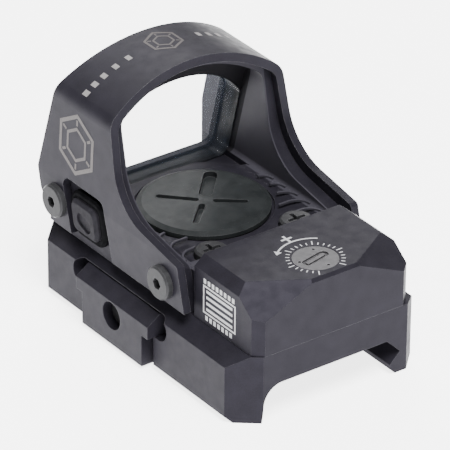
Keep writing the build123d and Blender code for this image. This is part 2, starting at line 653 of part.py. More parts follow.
def make_housing():
    body = cross(hood_section(HOOD_WALL + HOOD_BRUSH), WALL_START, LENGTH + 5)
    body &= block(-20, 20, WALL_START, HOUSING_FRONT, SEAM, seam(HOOD_REACH))
    body &= side(housing_profile(), -20, 20)
    body -= cross(window, 0, LENGTH + 5) & behind_lens
    body -= cross(bore, 0, LENGTH + 5) & lens_room
    body -= cross(lip, 0, LENGTH + 5)
    body -= cross(window, 0, LENGTH + 5) & ahead_of_frame
    body -= sill_cut()
    join = BLOCK_HALF - 1.0
    body += block(-join, join, BLOCK_FRONT - 1, WALL_START + 3, SEAM, seam(DECK))
    body += rear_block()
    body += deck_ribs()

    # room for the board, the battery and the adjusters
    body -= flat(cover_plan(), SEAM - 1, seam(LEDGE_Z))
    under_deck = flat(room_plan(0.0), seam(LEDGE_Z - 0.1), seam(FLOOR_TOP))
    for x, y in deck_screw_places():
        under_deck -= disc(x, y, SEAM, seam(FLOOR_TOP + 1), DECK_HEAD_R)
    body -= under_deck
    room = block(-ROOM_HALF, ROOM_HALF, ROOM_REAR, ROOM_FRONT, seam(LEDGE_Z), seam(ROOM_TOP))
    room += block(-ROOM_HALF, ROOM_HALF, ROOM_HIGH_FROM, ROOM_FRONT, seam(ROOM_TOP - 1), seam(ROOM_HIGH))
    body -= room
    body -= block(-3.0, 3.0, ROOM_FRONT - 1, BLOCK_FRONT + 1, seam(DECK + 0.1), seam(ROOM_HIGH - 0.1))

    # battery well, cap thread, cap seat and the shallow step around it
    body -= disc(0, CAP_Y, seam(FLOOR_TOP - 0.5), seam(10), CELL_R + CELL_PLAY)
    body -= disc(0, CAP_Y, seam(SKIRT_Z - 0.3), seam(10), SKIRT_R + RUN)
    body -= disc(0, CAP_Y, seam(SEAT_Z), seam(10), CAP_R + CAP_GAP)
    body -= disc(0, CAP_Y, seam(DECK - DECK_STEP), seam(8), DECK_STEP_R)

    # adjusters
    body -= disc(0, ELEVATION_Y, seam(BLOCK_TOP - RECESS), seam(10), DISC_R + RUN)
    body -= disc(0, ELEVATION_Y, seam(ROOM_TOP - 1), seam(10), STEM_R + RUN)
    body -= pin_x(BLOCK_HALF - RECESS, 20, WINDAGE_Y, seam(WINDAGE_Z), DISC_R + RUN)
    body -= pin_x(ROOM_HALF - 1, 20, WINDAGE_Y, seam(WINDAGE_Z), STEM_R + RUN)
    body -= click_bores()

    # screws and pins
    for x, y in deck_screw_places():
        body -= disc(x, y, SEAM - 1, seam(10), DECK_SHANK_R + 0.1)
        body -= disc(x, y, seam(DECK - DECK_HEAD[0]), seam(8.5), DECK_HEAD_R + 0.15)
    for x, y in PIN_PLACES:
        body -= disc(x, y, SEAM - 1, SEAM + PIN_REACH, PIN_R)
    for x, y in COVER_SCREWS:
        body -= disc(x, y, SEAM - 1, seam(LEDGE_Z + SCREW_BITE), FINE_SCREW_R)
    for y, z in HOOD_SCREWS:
        thread = pin_x(-20, -HOOD_HALF + HOOD_WALL + HOOD_SHANK, y, seam(z), HOOD_SHANK_R)
        body -= both(thread)

    # buttons and their switches, chips on the board
    body -= both(side(key_outline(KEY_PLAY), -20, -KEY_BACK + KEY_TRAVEL + 0.1))
    y, z = KEY_STEM
    body -= both(pin_x(-KEY_BACK, -SWITCH_FACE, y, seam(z), KEY_STEM_R + RUN))
    half = SWITCH_HALF + 0.2
    body -= both(block(-SWITCH_FACE - 0.1, -9.7, y - half, y + half, seam(LEDGE_Z), seam(SWITCH_TOP + 0.2)))
    half_x, half_y, top = CHIP_ROOM
    for x, y in CHIP_PLACES:
        body -= block(x - half_x, x + half_x, y - half_y, y + half_y, seam(LEDGE_Z), seam(top))
    return body


def click_bores():
    """Blind bores of the two sprung click balls, one beside each adjuster's stem."""
    z = seam(CLICK_Z)
    up = pin_y(ELEVATION_Y + STEM_R, ELEVATION_Y + STEM_R + CLICK_BORE, 0, z, CLICK_R + 0.02)
    height = seam(WINDAGE_Z) - STEM_R
    across = disc(CLICK_X, WINDAGE_Y, height - CLICK_BORE, height, CLICK_R + 0.02)
    return up + across


parts["housing"] = make_housing()


# ---------------------------------------------------------------- fasteners of the housing
def hex_socket(plane, size, depth):
    """Hexagonal key socket cut from a plane, against its normal."""
    return extrude(plane * RegularPolygon(size / 2, 6, major_radius=False), -depth)


def cross_recess(x, y, z, arm, width, depth):
    """Cross recess in an upright screw's head."""
    one = block(x - arm, x + arm, y - width / 2, y + width / 2, z - depth, z + 1)
    other = block(x - width / 2, x + width / 2, y - arm, y + arm, z - depth, z + 1)
    return one + other


screws = []
for x, y in deck_screw_places():
    top = seam(DECK + DECK_HEAD[1])
    head = disc(x, y, seam(DECK - DECK_HEAD[0]), top, DECK_HEAD_R)
    head = chamfer(head.edges().filter_by(GeomType.CIRCLE).sort_by(Axis.Z)[-1], 0.3)
    head -= cross_recess(x, y, top, *CROSS_RECESS)
    screws.append(head + disc(x, y, CEILING + 0.7, seam(DECK - DECK_HEAD[0] + 0.1), DECK_SHANK_R - 0.02))
parts["deck_screws"] = Compound(screws)

screws = []
for y, z in HOOD_SCREWS:
    face = -HOOD_HALF - HOOD_HEAD
    head = pin_x(face, -HOOD_HALF, y, seam(z), HOOD_HEAD_R)
    head = chamfer(head.edges().filter_by(GeomType.CIRCLE).sort_by(Axis.X)[0], 0.25)
    head += pin_x(-HOOD_HALF, -HOOD_HALF + HOOD_WALL + HOOD_SHANK - 0.05, y, seam(z), HOOD_SHANK_R - 0.02)
    plane = Plane(origin=(face, y, seam(z)), x_dir=(0, 1, 0), z_dir=(-1, 0, 0))
    head -= hex_socket(plane, *HOOD_HEX)
    screws.append(head)
    screws.append(mirrored(head))
parts["hood_screws"] = Compound(screws)


# ---------------------------------------------------------------- lens
def lens_outline(shrink):
    """The lens's own outline, a little smaller than its seat."""
    half = TUNNEL_HALF - shrink
    top = SEAT_TOP - shrink
    return tunnel_arch(
        half, seam(SEAT_FLOOR + shrink), seam(arc_shoulder(half, top, LIP_ARC)),
        seam(top), FLOOR_CORNER, FLOOR_CORNER,
    )


def lens_ball(radius, depth_at_middle):
    """Ball whose surface passes the lens's middle at a depth from its rear face."""
    middle_z = (LIP_BOTTOM + LIP_TOP) / 2
    rear_y = front_y(middle_z) - LENS_BACK
    tilt = math.atan(FRONT_LEAN)
    reach = radius - depth_at_middle
    centre = (0, rear_y - reach * math.cos(tilt), seam(middle_z) - reach * math.sin(tilt))
    return Pos(*centre) * Sphere(radius)


glass = cross(lens_outline(LENS_BOND), 0, LENGTH + 5)
glass &= lens_slab(LIP_BACK + 0.02, (LENS_THICK - 0.02) * LEAN_STRETCH)
glass -= lens_ball(*LENS_REAR_CURVE)
inner_ball = lens_ball(*LENS_CEMENT_CURVE)
parts["rear_lens"] = glass & inner_ball
parts["front_lens"] = glass - inner_ball
bond = cross(lens_outline(0.02), 0, LENGTH + 5) - cross(lens_outline(LENS_BOND), -1, LENGTH + 6)
parts["lens_bond"] = bond & lens_slab(LIP_BACK + 0.02, (LENS_THICK - 0.02) * LEAN_STRETCH)


# ---------------------------------------------------------------- bottom cover and board
cover = flat(cover_plan(), seam(0.02), seam(COVER_THICK))
gasket = flat(cover_plan(), seam(COVER_THICK), seam(LEDGE_Z))
gasket -= flat(room_plan(-0.1), SEAM - 1, seam(LEDGE_Z + 1))
for x, y in deck_screw_places():
    cover -= disc(x, y, SEAM - 1, seam(2), DECK_SHANK_R + 0.1)
screws = []
for x, y in COVER_SCREWS:
    cover -= disc(x, y, SEAM - 1, seam(2), FINE_SCREW_R + 0.1)
    cover -= disc(x, y, SEAM - 1, seam(COVER_HEAD), COVER_HEAD_R + 0.1)
    gasket -= disc(x, y, SEAM - 1, seam(2), FINE_SCREW_R + 0.1)
    head = disc(x, y, seam(0.04), seam(COVER_HEAD), COVER_HEAD_R)
    head -= block(x - 1.2, x + 1.2, y - 0.15, y + 0.15, SEAM, seam(0.18))
    screws.append(head + disc(x, y, seam(0.2), seam(LEDGE_Z + SCREW_BITE - 0.1), FINE_SCREW_R - 0.02))
parts["bottom_cover"] = cover
parts["cover_gasket"] = gasket
parts["cover_screws"] = Compound(screws)

BOARD_REAR = 13.2
board = flat(room_plan(-0.3), seam(BOARD_Z), seam(BOARD_TOP))
board &= block(-20, 20, BOARD_REAR, LENGTH, SEAM, seam(5))
for x, y in deck_screw_places():
    board -= disc(x, y, SEAM, seam(5), DECK_HEAD_R + 0.2)
parts["circuit_board"] = board

x, y = CHIP_PLACES[0]
parts["control_chip"] = block(x - 1.8, x + 1.8, y - 1.4, y + 1.4, seam(BOARD_TOP), seam(BOARD_TOP + 0.9))
x, y = CHIP_PLACES[1]
small_parts = [
    block(x - 1.9, x + 0.3, y - 1.3, y + 1.3, seam(BOARD_TOP), seam(BOARD_TOP + 1.1)),
    block(x + 0.7, x + 1.9, y + 0.3, y + 1.2, seam(BOARD_TOP), seam(BOARD_TOP + 0.6)),
    block(x + 0.7, x + 1.9, y - 1.2, y - 0.3, seam(BOARD_TOP), seam(BOARD_TOP + 0.6)),
]
parts["board_components"] = Compound(small_parts)

contact = disc(0, CAP_Y, seam(BOARD_TOP), seam(BOARD_TOP + CONTACT_THICK), 5.5)
contact -= disc(0, CAP_Y, SEAM, seam(5), 3.2)
tongue = block(-1.0, 1.0, CAP_Y - 4.0, CAP_Y + 2.5, seam(BOARD_TOP), seam(BOARD_TOP + CONTACT_THICK))
parts["battery_contact"] = contact + tongue

strip = 0.12
flex = block(-1.5, 1.5, ROOM_FRONT - 0.32, BOARD_REAR + 4.3, seam(BOARD_TOP), seam(BOARD_TOP + strip))
riser_y = ROOM_FRONT - 0.32
flex += block(-1.5, 1.5, riser_y, riser_y + strip, seam(BOARD_TOP), seam(5.5))
parts["flex_cable"] = flex


# ---------------------------------------------------------------- battery and its cap
cell = disc(0, CAP_Y, seam(CELL_Z + 0.25), seam(CELL_TOP), CELL_R)
cell = chamfer(cell.edges().filter_by(GeomType.CIRCLE), 0.2)
cell += disc(0, CAP_Y, seam(CELL_Z), seam(CELL_Z + 0.3), CELL_R - 1.4)
parts["battery_cell"] = cell

cap = disc(0, CAP_Y, seam(FLANGE_Z), seam(CAP_TOP), CAP_R)
cap = chamfer(cap.edges().filter_by(GeomType.CIRCLE).sort_by(Axis.Z)[-1], *CAP_CHAMFER)
cap += disc(0, CAP_Y, seam(SKIRT_Z), seam(FLANGE_Z + 0.1), SKIRT_R)
cap -= disc(0, CAP_Y, seam(SKIRT_Z - 1), seam(ROOF_Z), CELL_R + CELL_PLAY)
for angle, start, end, width in CAP_SLOTS:
    arm = Pos((start + end) / 2, 0) * SlotOverall(end - start, width)
    slot = Pos(0, CAP_Y) * Rot(0, 0, angle) * arm
    cap -= flat(slot, seam(CAP_TOP - CAP_SLOT_DEPTH), seam(CAP_TOP + 1))
parts["battery_cap"] = cap
spring_disc = disc(0, CAP_Y, seam(CELL_TOP + 0.01), seam(ROOF_Z - 0.01), 5.0)
spring_disc -= disc(0, CAP_Y, SEAM, seam(10), 2.0)
parts["cap_contact"] = spring_disc
ring = disc(0, CAP_Y, seam(SEAT_Z), seam(FLANGE_Z), CAP_R - 0.05)
parts["cap_seal"] = ring - disc(0, CAP_Y, SEAM, seam(10), SKIRT_R + 0.1)


# ---------------------------------------------------------------- buttons and switches
y, z = KEY_STEM
key_cap = side(key_outline(0.0), -KEY_PROUD, -KEY_BACK)
key_cap = chamfer(key_cap.faces().sort_by(Axis.X)[0].edges(), KEY_CHAMFER)
dimple = Pos(y, seam(4.5)) * Rot(0, 0, 20) * SlotOverall(3.4, 1.9)
key_cap -= side(dimple, -KEY_PROUD - 1, -KEY_PROUD + 0.3)
key_cap += pin_x(-KEY_BACK - 0.1, -SWITCH_FACE - KEY_TRAVEL - 0.05, y, seam(z), KEY_STEM_R)
frame = side(key_outline(FRAME_SPARE), -HOOD_HALF + 0.5, -HOOD_HALF + HOOD_WALL + 0.03)
frame = chamfer(frame.faces().sort_by(Axis.X)[0].outer_wire().edges(), 0.35)
frame -= side(key_outline(RUN), -20, 0)
switch = block(
    -SWITCH_FACE + 0.1, -9.9, y - SWITCH_HALF, y + SWITCH_HALF, seam(BOARD_TOP), seam(SWITCH_TOP)
)
switch += pin_x(-SWITCH_FACE, -11.0, y, seam(z), 0.7)
for name, solid in (("key", key_cap), ("key_frame", frame), ("switch", switch)):
    parts[name + "_left"] = solid
    parts[name + "_right"] = mirrored(solid)


# ---------------------------------------------------------------- adjusters
BLOCK_Z = (1.5, 3.4)        # elevation block
TRAY_TOP = 2.2
CARRIER_HALF = 2.6
CARRIER_Y = (8.45, 11.9)
CARRIER_Z = (TRAY_TOP + 0.05, 7.2)


def adjuster(plane, stem_length):
    """Slotted disc on a stem, drawn on the disc's outer face and running inward."""
    body = extrude(plane * Circle(DISC_R), -DISC_THICK)
    groove = extrude(plane.offset(-0.55) * (Circle(DISC_R + 1) - Circle(DISC_R - 0.48)), -0.46)
    body -= groove
    body += extrude(plane.offset(-DISC_THICK + 0.1) * Circle(STEM_R), -stem_length - 0.1)
    length, width, depth = DISC_SLOT
    turned = Rot(0, 0, DISC_SLOT_TURN)
    body -= extrude(plane * turned * SlotOverall(length, width), -depth)
    body += extrude(plane.offset(-depth - 0.01) * turned * Rectangle(3.4, 0.5), depth - 0.04)
    out, radius, depth = DISC_DOT
    for turn in DISC_DOTS:
        body -= extrude(plane * Rot(0, 0, turn) * Pos(out, 0) * Circle(radius), -depth)
    return body


def adjuster_seal(plane):
    """O-ring in the disc's rim."""
    return extrude(plane.offset(-0.58) * (Circle(DISC_R + 0.02) - Circle(DISC_R - 0.45)), -0.4)


up_face = Plane(origin=(0, ELEVATION_Y, seam(BLOCK_TOP - DISC_SINK)), x_dir=(1, 0, 0), z_dir=(0, 0, 1))
out_face = Plane(
    origin=(BLOCK_HALF - DISC_SINK, WINDAGE_Y, seam(WINDAGE_Z)), x_dir=(0, 1, 0), z_dir=(1, 0, 0)
)
up_reach = BLOCK_TOP - DISC_SINK - DISC_THICK - BLOCK_Z[1] - TIP_GAP
out_reach = BLOCK_HALF - DISC_SINK - DISC_THICK - CARRIER_HALF - TIP_GAP
parts["elevation_screw"] = adjuster(up_face, up_reach)
parts["elevation_seal"] = adjuster_seal(up_face)
parts["windage_screw"] = adjuster(out_face, out_reach)
parts["windage_seal"] = adjuster_seal(out_face)

wall = ROOM_HALF - 0.1
slide = block(-wall, wall, ROOM_REAR + 0.1, CARRIER_Y[0] - 0.25, seam(BLOCK_Z[0]), seam(BLOCK_Z[1]))
slide += block(-5, 5, CARRIER_Y[0] - 0.4, CARRIER_Y[1], seam(BLOCK_Z[0]), seam(TRAY_TOP))
slide -= block(-4.5, 4.5, 9.7, 10.7, seam(TRAY_TOP - 0.35), seam(TRAY_TOP + 1))
SPRING_PLACES = [(-5.5, 5.6), (5.5, 5.6)]
springs = []
for x, y in SPRING_PLACES:
    slide -= disc(x, y, SEAM, seam(BLOCK_Z[0] + 1.1), 1.3)
    coil = disc(x, y, seam(COVER_THICK + 0.02), seam(BLOCK_Z[0] + 1.05), 1.05)
    springs.append(coil - disc(x, y, SEAM, seam(5), 0.75))
parts["elevation_block"] = slide
parts["lift_springs"] = Compound(springs)

carrier = block(
    -CARRIER_HALF, CARRIER_HALF, *CARRIER_Y, seam(CARRIER_Z[0]), seam(CARRIER_Z[1])
)
carrier = chamfer(carrier.edges().filter_by(Axis.Y).group_by(Axis.Z)[-1], 0.5)
carrier += block(-2.2, 2.2, 9.75, 10.65, seam(TRAY_TOP - 0.3), seam(TRAY_TOP + 0.2))
parts["emitter_carrier"] = carrier
parts["led_emitter"] = block(-0.8, 0.8, CARRIER_Y[1], CARRIER_Y[1] + 0.35, seam(6.2), seam(6.95))
coil = pin_x(-ROOM_HALF + 0.5, -CARRIER_HALF, WINDAGE_Y, seam(WINDAGE_Z), 0.9)
parts["carrier_spring"] = coil - pin_x(-ROOM_HALF, 0, WINDAGE_Y, seam(WINDAGE_Z), 0.6)
parts["emitter_window"] = block(-2.95, 2.95, 13.2, 13.7, seam(DECK + 0.15), seam(ROOM_HIGH - 0.15))

ball_up = Pos(0, ELEVATION_Y + STEM_R + RUN + CLICK_R, seam(CLICK_Z)) * Sphere(CLICK_R)
drop = seam(WINDAGE_Z) - STEM_R - RUN - CLICK_R
ball_out = Pos(CLICK_X, WINDAGE_Y, drop) * Sphere(CLICK_R)
parts["click_balls"] = Compound([ball_up, ball_out])
start = ELEVATION_Y + STEM_R + RUN + 2 * CLICK_R
spring_up = pin_y(start, ELEVATION_Y + STEM_R + CLICK_BORE - 0.05, 0, seam(CLICK_Z), CLICK_R)
spring_up -= pin_y(start - 1, start + 5, 0, seam(CLICK_Z), CLICK_R - 0.15)
top = drop - CLICK_R
spring_out = disc(CLICK_X, WINDAGE_Y, seam(WINDAGE_Z) - STEM_R - CLICK_BORE + 0.05, top, CLICK_R)
spring_out -= disc(CLICK_X, WINDAGE_Y, SEAM, top + 1, CLICK_R - 0.15)
parts["click_springs"] = Compound([spring_up, spring_out])


# ---------------------------------------------------------------- export
for name, solid in parts.items():
    placed = Pos(0, -LENGTH / 2, 0) * solid
    export_step(placed, f"parts/{name}.step")
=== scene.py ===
import math

import bmesh
import bpy
from mathutils import Matrix, Vector
from mathutils.bvhtree import BVHTree


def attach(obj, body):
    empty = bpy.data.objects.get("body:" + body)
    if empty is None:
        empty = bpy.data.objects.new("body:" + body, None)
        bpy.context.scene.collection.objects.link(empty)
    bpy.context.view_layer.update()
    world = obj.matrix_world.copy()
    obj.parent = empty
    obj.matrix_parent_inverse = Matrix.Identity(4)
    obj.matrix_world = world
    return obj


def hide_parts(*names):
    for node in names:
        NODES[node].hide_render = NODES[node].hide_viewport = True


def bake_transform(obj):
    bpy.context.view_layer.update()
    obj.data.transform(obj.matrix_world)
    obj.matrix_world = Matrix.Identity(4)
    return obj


# Looks of a hooded miniature reflex sight on its rail mount, in the CAD's frame: +Y is the
# aiming direction, +X the shooter's right, +Z up. Blender works in metres, so the sizes given
# in millimetres are multiplied by MM.

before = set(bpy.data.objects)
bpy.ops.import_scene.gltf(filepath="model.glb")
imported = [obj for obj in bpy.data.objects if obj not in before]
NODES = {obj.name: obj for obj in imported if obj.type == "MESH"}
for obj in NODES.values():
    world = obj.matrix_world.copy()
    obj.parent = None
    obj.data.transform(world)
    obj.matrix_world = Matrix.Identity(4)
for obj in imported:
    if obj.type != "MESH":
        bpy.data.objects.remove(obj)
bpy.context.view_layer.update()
MM = 0.001


def box(name):
    """Lowest and highest corner of a CAD node at rest, to a thousandth of a millimetre."""
    corners = NODES[name].bound_box
    low = [round(min(corner[axis] for corner in corners) / MM, 3) for axis in range(3)]
    high = [round(max(corner[axis] for corner in corners) / MM, 3) for axis in range(3)]
    return low, high


def middle(name):
    """Middle of a CAD node's box, in millimetres."""
    return [(low + high) / 2 for low, high in zip(*box(name))]


def new_piece(name, mesh, material):
    """A finished mesh as an object of the scene."""
    data = bpy.data.meshes.new(name)
    mesh.to_mesh(data)
    mesh.free()
    data.materials.append(material)
    piece = bpy.data.objects.new(name, data)
    bpy.context.scene.collection.objects.link(piece)
    return piece


# ---------------------------------------------------------------- camera
CAMERA_PLACE = (-0.3191, -0.43395, 0.3246)
CAMERA_AZIMUTH = math.radians(-36.274)      # from straight behind
CAMERA_ELEVATION = math.radians(29.874)
CAMERA_ROLL = math.radians(0.466)
LENS_MM = 367.46
SENSOR_MM = 36.0


def place_camera():
    """A long lens above, behind and to the left of the sight."""
    back = Vector((
        math.sin(CAMERA_AZIMUTH) * math.cos(CAMERA_ELEVATION),
        -math.cos(CAMERA_AZIMUTH) * math.cos(CAMERA_ELEVATION),
        math.sin(CAMERA_ELEVATION),
    ))
    level = Vector((math.cos(CAMERA_AZIMUTH), math.sin(CAMERA_AZIMUTH), 0.0))
    upright = back.cross(level)
    right = level * math.cos(CAMERA_ROLL) + upright * math.sin(CAMERA_ROLL)
    up = upright * math.cos(CAMERA_ROLL) - level * math.sin(CAMERA_ROLL)
    data = bpy.data.cameras.new("camera")
    data.lens = LENS_MM
    data.sensor_width = SENSOR_MM
    data.clip_start = 0.01
    data.clip_end = 50.0
    camera = bpy.data.objects.new("camera", data)
    rotation = Matrix((right, up, back)).transposed().to_4x4()
    camera.matrix_world = Matrix.Translation(CAMERA_PLACE) @ rotation
    bpy.context.scene.collection.objects.link(camera)
    bpy.context.scene.camera = camera


place_camera()


# ---------------------------------------------------------------- material helper
BEVEL_SAMPLES = 6
EDGE_LOW = 0.02             # how far the rounded normal leaves the plain one where an edge begins
EDGE_HIGH = 0.25            # and where it is at its fullest
PATCH_LOW = 0.3             # most of a noise lies between these
PATCH_HIGH = 0.7
MIX_LOW = 6                 # the colour sockets of a Mix node
MIX_HIGH = 7
MIX_RESULT = 2


class Surface:
    """A node material built step by step around one Principled shader."""

    def __init__(self, name):
        self.material = bpy.data.materials.new(name)
        self.material.use_nodes = True
        self.tree = self.material.node_tree
        self.tree.nodes.clear()
        output = self.tree.nodes.new("ShaderNodeOutputMaterial")
        self.shader = self.tree.nodes.new("ShaderNodeBsdfPrincipled")
        self.link(self.shader.outputs["BSDF"], output.inputs["Surface"])
        self.where = self.tree.nodes.new("ShaderNodeTexCoord").outputs["Object"]
        self.bumps = None

    def link(self, source, socket):
        self.tree.links.new(source, socket)

    def set(self, **values):
        """Plain values on the shader's own sockets, with _ for a space."""
        for name, value in values.items():
            socket = self.shader.inputs[name.replace("_", " ")]
            if name.endswith("Color") or name.endswith("Tint"):
                value = (*value, 1.0)
            socket.default_value = value

    def paint(self, colour):
        """A colour socket as the surface's own colour."""
        self.link(colour, self.shader.inputs["Base Color"])

    def dull(self, roughness):
        """A number socket as the surface's roughness."""
        self.link(roughness, self.shader.inputs["Roughness"])

    def stretched(self, scale):
        """The object's coordinates, scaled along each axis."""
        node = self.tree.nodes.new("ShaderNodeMapping")
        node.inputs["Scale"].default_value = scale
        self.link(self.where, node.inputs["Vector"])
        return node.outputs["Vector"]

    def noise(self, size_mm, detail=3.0, stretch=None, distortion=0.0):
        """Noise with features of about a size."""
        node = self.tree.nodes.new("ShaderNodeTexNoise")
        node.inputs["Scale"].default_value = 1.0 / (size_mm * MM)
        node.inputs["Detail"].default_value = detail
        node.inputs["Distortion"].default_value = distortion
        source = self.where if stretch is None else self.stretched(stretch)
        self.link(source, node.inputs["Vector"])
        return node.outputs["Fac"]

    def cells(self, size_mm):
        """Distance to the nearest of scattered points."""
        node = self.tree.nodes.new("ShaderNodeTexVoronoi")
        node.inputs["Scale"].default_value = 1.0 / (size_mm * MM)
        self.link(self.where, node.inputs["Vector"])
        return node.outputs["Distance"]

    def range(self, value, low, high, out_low=0.0, out_high=1.0):
        """A value spread from one range to another, and held inside it."""
        node = self.tree.nodes.new("ShaderNodeMapRange")
        node.inputs["From Min"].default_value = low
        node.inputs["From Max"].default_value = high
        node.inputs["To Min"].default_value = out_low
        node.inputs["To Max"].default_value = out_high
        self.link(value, node.inputs["Value"])
        return node.outputs["Result"]

    def patches(self, size_mm, detail=4.0, low=0.0, high=1.0):
        """Soft patches of about a size, running from a low to a high value."""
        return self.range(self.noise(size_mm, detail), PATCH_LOW, PATCH_HIGH, low, high)

    def math(self, operation, a, b=0.0):
        """Arithmetic on sockets or plain numbers."""
        node = self.tree.nodes.new("ShaderNodeMath")
        node.operation = operation
        for socket, value in zip(node.inputs, (a, b)):
            if isinstance(value, (int, float)):
                socket.default_value = value
            else:
                self.link(value, socket)
        return node.outputs[0]

    def times(self, first, *others):
        """The product of several numbers or sockets."""
        for other in others:
            first = self.math("MULTIPLY", first, other)
        return first

    def mix(self, factor, low, high):
        """Colour between two colours or colour sockets."""
        node = self.tree.nodes.new("ShaderNodeMix")
        node.data_type = "RGBA"
        self.link(factor, node.inputs["Factor"])
        for socket, value in ((node.inputs[MIX_LOW], low), (node.inputs[MIX_HIGH], high)):
            if isinstance(value, tuple):
                socket.default_value = (*value, 1.0)
            else:
                self.link(value, socket)
        return node.outputs[MIX_RESULT]

    def coordinate(self, axis):
        """The object's own x, y or z, in metres."""
        node = self.tree.nodes.new("ShaderNodeSeparateXYZ")
        self.link(self.where, node.inputs[0])
        return node.outputs[axis]

    def bevel(self, radius_mm):
        """The surface's normal, rounded across sharp edges."""
        node = self.tree.nodes.new("ShaderNodeBevel")
        node.samples = BEVEL_SAMPLES
        node.inputs["Radius"].default_value = radius_mm * MM
        return node.outputs["Normal"]

    def edges(self, radius_mm):
        """How near the surface is to a sharp edge, from 0 to 1."""
        plain = self.tree.nodes.new("ShaderNodeNewGeometry")
        product = self.tree.nodes.new("ShaderNodeVectorMath")
        product.operation = "DOT_PRODUCT"
        self.link(self.bevel(radius_mm), product.inputs[0])
        self.link(plain.outputs["Normal"], product.inputs[1])
        gap = self.math("SUBTRACT", 1.0, product.outputs["Value"])
        return self.range(gap, EDGE_LOW, EDGE_HIGH)

    def bump(self, height, depth_mm, strength):
        """One more layer of relief, of a real depth."""
        node = self.tree.nodes.new("ShaderNodeBump")
        node.inputs["Strength"].default_value = strength
        node.inputs["Distance"].default_value = depth_mm * MM
        self.link(height, node.inputs["Height"])
        if self.bumps is not None:
            self.link(self.bumps, node.inputs["Normal"])
        self.bumps = node.outputs["Normal"]

    def rounded(self, radius_mm):
        """Softens sharp edges in the shading, as a slightly broken edge looks."""
        self.bumps = self.bevel(radius_mm)
        return self

    def done(self):
        """Joins the relief to the shader and gives the material."""
        if self.bumps is not None:
            self.link(self.bumps, self.shader.inputs["Normal"])
        return self.material


# ---------------------------------------------------------------- materials
ANODISED = (0.0095, 0.0088, 0.0118)
ANODISED_LIGHT = (0.016, 0.0148, 0.0196)
HOOD_COAT = (0.0105, 0.0098, 0.013)
HOOD_COAT_LIGHT = (0.017, 0.0158, 0.0208)
# edge colours: partly rubbed wear, partly a painted highlight along the edges
EDGE_WEAR_AND_HIGHLIGHT = (0.075, 0.072, 0.08)
HOOD_EDGE_WEAR_AND_HIGHLIGHT = (0.2, 0.195, 0.205)
# a paler tone for inside the window: painted light
WINDOW_PAINTED_LIGHT = (0.036, 0.0342, 0.042)
MATT_BLACK = (0.012, 0.0117, 0.0135)
CAP_DARK = (0.0105, 0.0118, 0.0124)
CAP_LIGHT = (0.0175, 0.0192, 0.0198)
CAP_SCRATCH = (0.1, 0.1, 0.1)
# a painted highlight along the cap's edges
CAP_EDGE_HIGHLIGHT = (0.09, 0.09, 0.094)
GLASS_TINT = (0.35, 0.42, 0.55)
DUST = (0.6, 0.6, 0.6)
BOARD_GREEN = (0.012, 0.085, 0.035)
BOARD_GREEN_LIGHT = (0.03, 0.17, 0.07)

# where the housing is painted paler, as painted light, and where it is painted black, both inside the
# window
WINDOW_PAINTED_LIGHT_FROM = -9.7 * MM    # and on forward
PAINT_Y = 13.35 * MM        # where the paint starts, at the height PAINT_Z
PAINT_Z = 22.6 * MM
PAINT_LEAN = 0.27           # forward for each step down, as the lens leans
PAINT_LENGTH = 5.42 * MM
PAINT_HALF = 12.0 * MM
PAINT_FLOOR = 16.0 * MM
PAINT_ROOF = 35.2 * MM
PAINT_SOFT = 0.02 * MM


def coated_surface(name, dark, light, edge_wear_and_highlight, roughness, edge_mm=0.12):
    """Bead-blasted and coated metal: fine grain, soft mottling, edges a little lighter, partly rubbed
    wear and partly a painted highlight.
    """
    skin = Surface(name).rounded(edge_mm)
    speck = skin.range(skin.noise(0.16, 2.0), 0.35, 0.7)
    tone = skin.math("ADD", skin.times(skin.patches(2.6), 0.6), skin.times(speck, 0.4))
    # lighter edges: rubbed wear broken up by noise, together with a painted highlight
    rub_and_highlight = skin.times(skin.edges(edge_mm), skin.range(skin.noise(0.9), 0.3, 0.65, 0.25, 1.0))
    skin.paint(skin.mix(rub_and_highlight, skin.mix(tone, dark, light), edge_wear_and_highlight))
    skin.dull(skin.patches(1.4, 4.0, roughness - 0.05, roughness + 0.06))
    skin.bump(skin.noise(0.11, 2.0), 0.012, 0.55)
    skin.bump(skin.noise(1.8), 0.02, 0.25)
    skin.set(Specular_IOR_Level=0.062, Specular_Tint=(0.84, 0.8, 0.98))
    return skin


def coated_metal(*looks):
    """The coated surface with nothing added, as a material."""
    return coated_surface(*looks).done()


def housing_material():
    """The coated housing, paler inside the window as painted light, and duller with anti-glare paint
    near the lens.
    """
    skin = coated_surface("anodised_housing", ANODISED, ANODISED_LIGHT, EDGE_WEAR_AND_HIGHLIGHT, 0.44)
    x, y, z = (skin.coordinate(axis) for axis in range(3))
    window = skin.times(
        skin.range(skin.math("ABSOLUTE", x), PAINT_HALF, PAINT_HALF - PAINT_SOFT),
        skin.range(z, PAINT_FLOOR, PAINT_FLOOR + PAINT_SOFT),
        skin.range(z, PAINT_ROOF, PAINT_ROOF - PAINT_SOFT),
    )
    # the paint starts on a line that leans with the lens
    start = skin.math("SUBTRACT", PAINT_Y, skin.times(skin.math("SUBTRACT", z, PAINT_Z), PAINT_LEAN))
    past = skin.math("SUBTRACT", y, start)
    band = skin.times(
        skin.range(past, 0.0, 0.05 * MM),
        skin.range(past, PAINT_LENGTH, PAINT_LENGTH - PAINT_SOFT),
    )
    painted = skin.times(window, band)
    # inside the window, painted paler as painted light
    window_painted_light = skin.times(window, skin.range(y, WINDOW_PAINTED_LIGHT_FROM, WINDOW_PAINTED_LIGHT_FROM + 0.1 * MM), 0.9)
    colour = skin.shader.inputs["Base Color"].links[0].from_socket
    roughness = skin.shader.inputs["Roughness"].links[0].from_socket
    skin.paint(skin.mix(painted, skin.mix(window_painted_light, colour, WINDOW_PAINTED_LIGHT), MATT_BLACK))
    skin.dull(skin.math("MAXIMUM", roughness, skin.times(painted, 0.78)))
    return skin.done()


